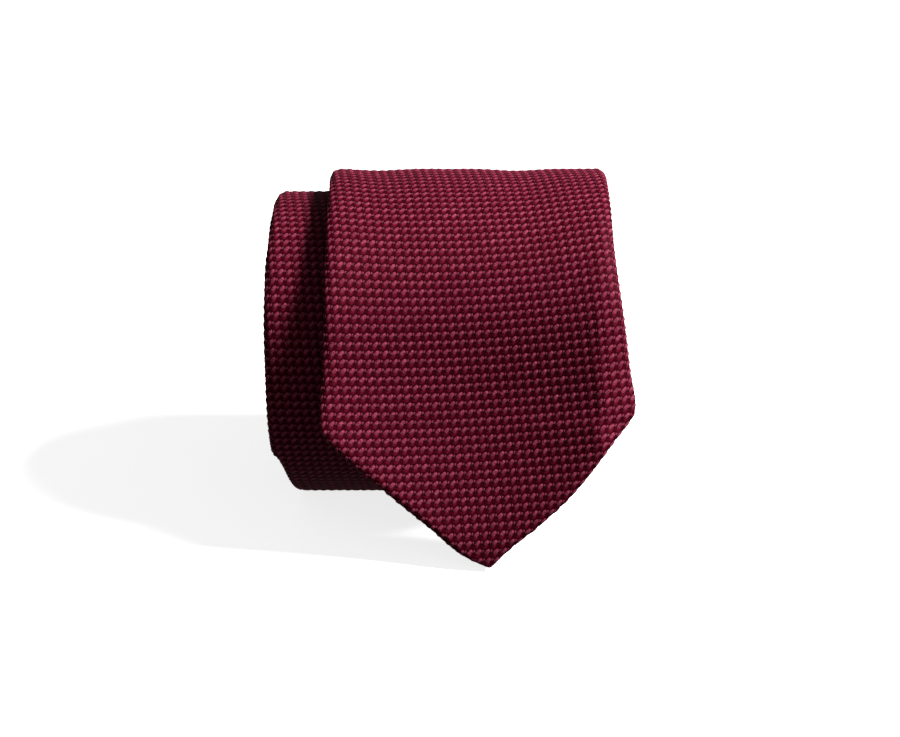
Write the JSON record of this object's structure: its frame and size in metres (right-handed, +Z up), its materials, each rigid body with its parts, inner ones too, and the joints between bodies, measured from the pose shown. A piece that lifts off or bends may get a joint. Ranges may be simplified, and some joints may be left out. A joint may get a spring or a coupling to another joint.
{
  "type": "necktie",
  "caption": "Rolled woven silk necktie lying on its side, wide pointed blade hanging in front; its last turn unrolls.",
  "frame": {"origin": "centre of the resting footprint box, on the surface it rests on", "axes": "+X along the roll's axis to the right seen from the front, +Y from the hanging blade to the back of the roll, +Z up"},
  "size_m": [0.0946, 0.1048, 0.0856],
  "materials": {
    "silk": "coarse textured weave, matt with a slight sheen",
    "interlining": "brushed wool, matt",
    "tipping": "plain satin lining",
    "thread": "sewing thread, slight sheen",
    "label": "blank woven ribbon, no lettering"
  },
  "bodies": {
    "rolled_length": {"tail_shell": "silk", "neck_shell": "silk", "blade_shell_rolled": "silk", "interlining_rolled": "interlining", "slip_stitch_rolled": "thread", "tail_tipping": "tipping", "tail_bar_tack": "thread", "piecing_seam_blade_to_neck": "thread", "piecing_seam_neck_to_tail": "thread"},
    "turn_1": {"blade_shell_turn_1": "silk", "interlining_turn_1": "interlining", "slip_stitch_turn_1": "thread", "back_label": "label"},
    "turn_2": {"blade_shell_turn_2": "silk", "interlining_turn_2": "interlining", "slip_stitch_turn_2": "thread"},
    "turn_3": {"blade_shell_turn_3": "silk", "interlining_turn_3": "interlining", "slip_stitch_turn_3": "thread", "keeper_loop": "silk", "keeper_tack_left": "thread", "keeper_tack_right": "thread"},
    "turn_4": {"blade_shell_turn_4": "silk", "interlining_turn_4": "interlining", "slip_stitch_turn_4": "thread"},
    "turn_5": {"blade_shell_turn_5": "silk", "interlining_turn_5": "interlining", "slip_stitch_turn_5": "thread", "blade_bar_tack": "thread"},
    "turn_6": {"blade_shell_turn_6": "silk", "interlining_turn_6": "interlining", "blade_tipping_turn_6": "tipping"},
    "turn_7": {"blade_shell_turn_7": "silk", "interlining_turn_7": "interlining", "blade_tipping_turn_7": "tipping"},
    "hanging_blade": {"blade_shell_hanging": "silk", "interlining_hanging": "interlining", "blade_tipping_hanging": "tipping"}
  },
  "joints": [
    {"name": "unroll_1", "type": "hinge", "parent": "rolled_length", "child": "turn_1", "pos_m": [0, 0.02694, 0.00248], "axis": [-1, 0, 0], "range_deg": [0, 40]},
    {"name": "unroll_2", "type": "hinge", "parent": "turn_1", "child": "turn_2", "pos_m": [0, 0.04436, 0.01641], "axis": [-1, 0, 0], "range_deg": [0, 30]},
    {"name": "unroll_3", "type": "hinge", "parent": "turn_2", "child": "turn_3", "pos_m": [0, 0.05249, 0.03745], "axis": [-1, 0, 0], "range_deg": [0, 30]},
    {"name": "unroll_4", "type": "hinge", "parent": "turn_3", "child": "turn_4", "pos_m": [0, 0.04887, 0.05992], "axis": [-1, 0, 0], "range_deg": [0, 30]},
    {"name": "unroll_5", "type": "hinge", "parent": "turn_4", "child": "turn_5", "pos_m": [0, 0.03432, 0.0776], "axis": [-1, 0, 0], "range_deg": [0, 30]},
    {"name": "unroll_6", "type": "hinge", "parent": "turn_5", "child": "turn_6", "pos_m": [0, 0.01278, 0.08567], "axis": [-1, 0, 0], "range_deg": [0, 30]},
    {"name": "unroll_7", "type": "hinge", "parent": "turn_6", "child": "turn_7", "pos_m": [0, -0.01002, 0.08188], "axis": [-1, 0, 0], "range_deg": [0, 30]},
    {"name": "unroll_8", "type": "hinge", "parent": "turn_7", "child": "hanging_blade", "pos_m": [0, -0.02796, 0.06712], "axis": [-1, 0, 0], "range_deg": [0, 30]}
  ],
  "couplings": [
    {"joint": "unroll_2", "follows": "unroll_1", "ratio": 0.75},
    {"joint": "unroll_3", "follows": "unroll_1", "ratio": 0.75},
    {"joint": "unroll_4", "follows": "unroll_1", "ratio": 0.75},
    {"joint": "unroll_5", "follows": "unroll_1", "ratio": 0.75},
    {"joint": "unroll_6", "follows": "unroll_1", "ratio": 0.75},
    {"joint": "unroll_7", "follows": "unroll_1", "ratio": 0.75},
    {"joint": "unroll_8", "follows": "unroll_1", "ratio": 0.75}
  ]
}
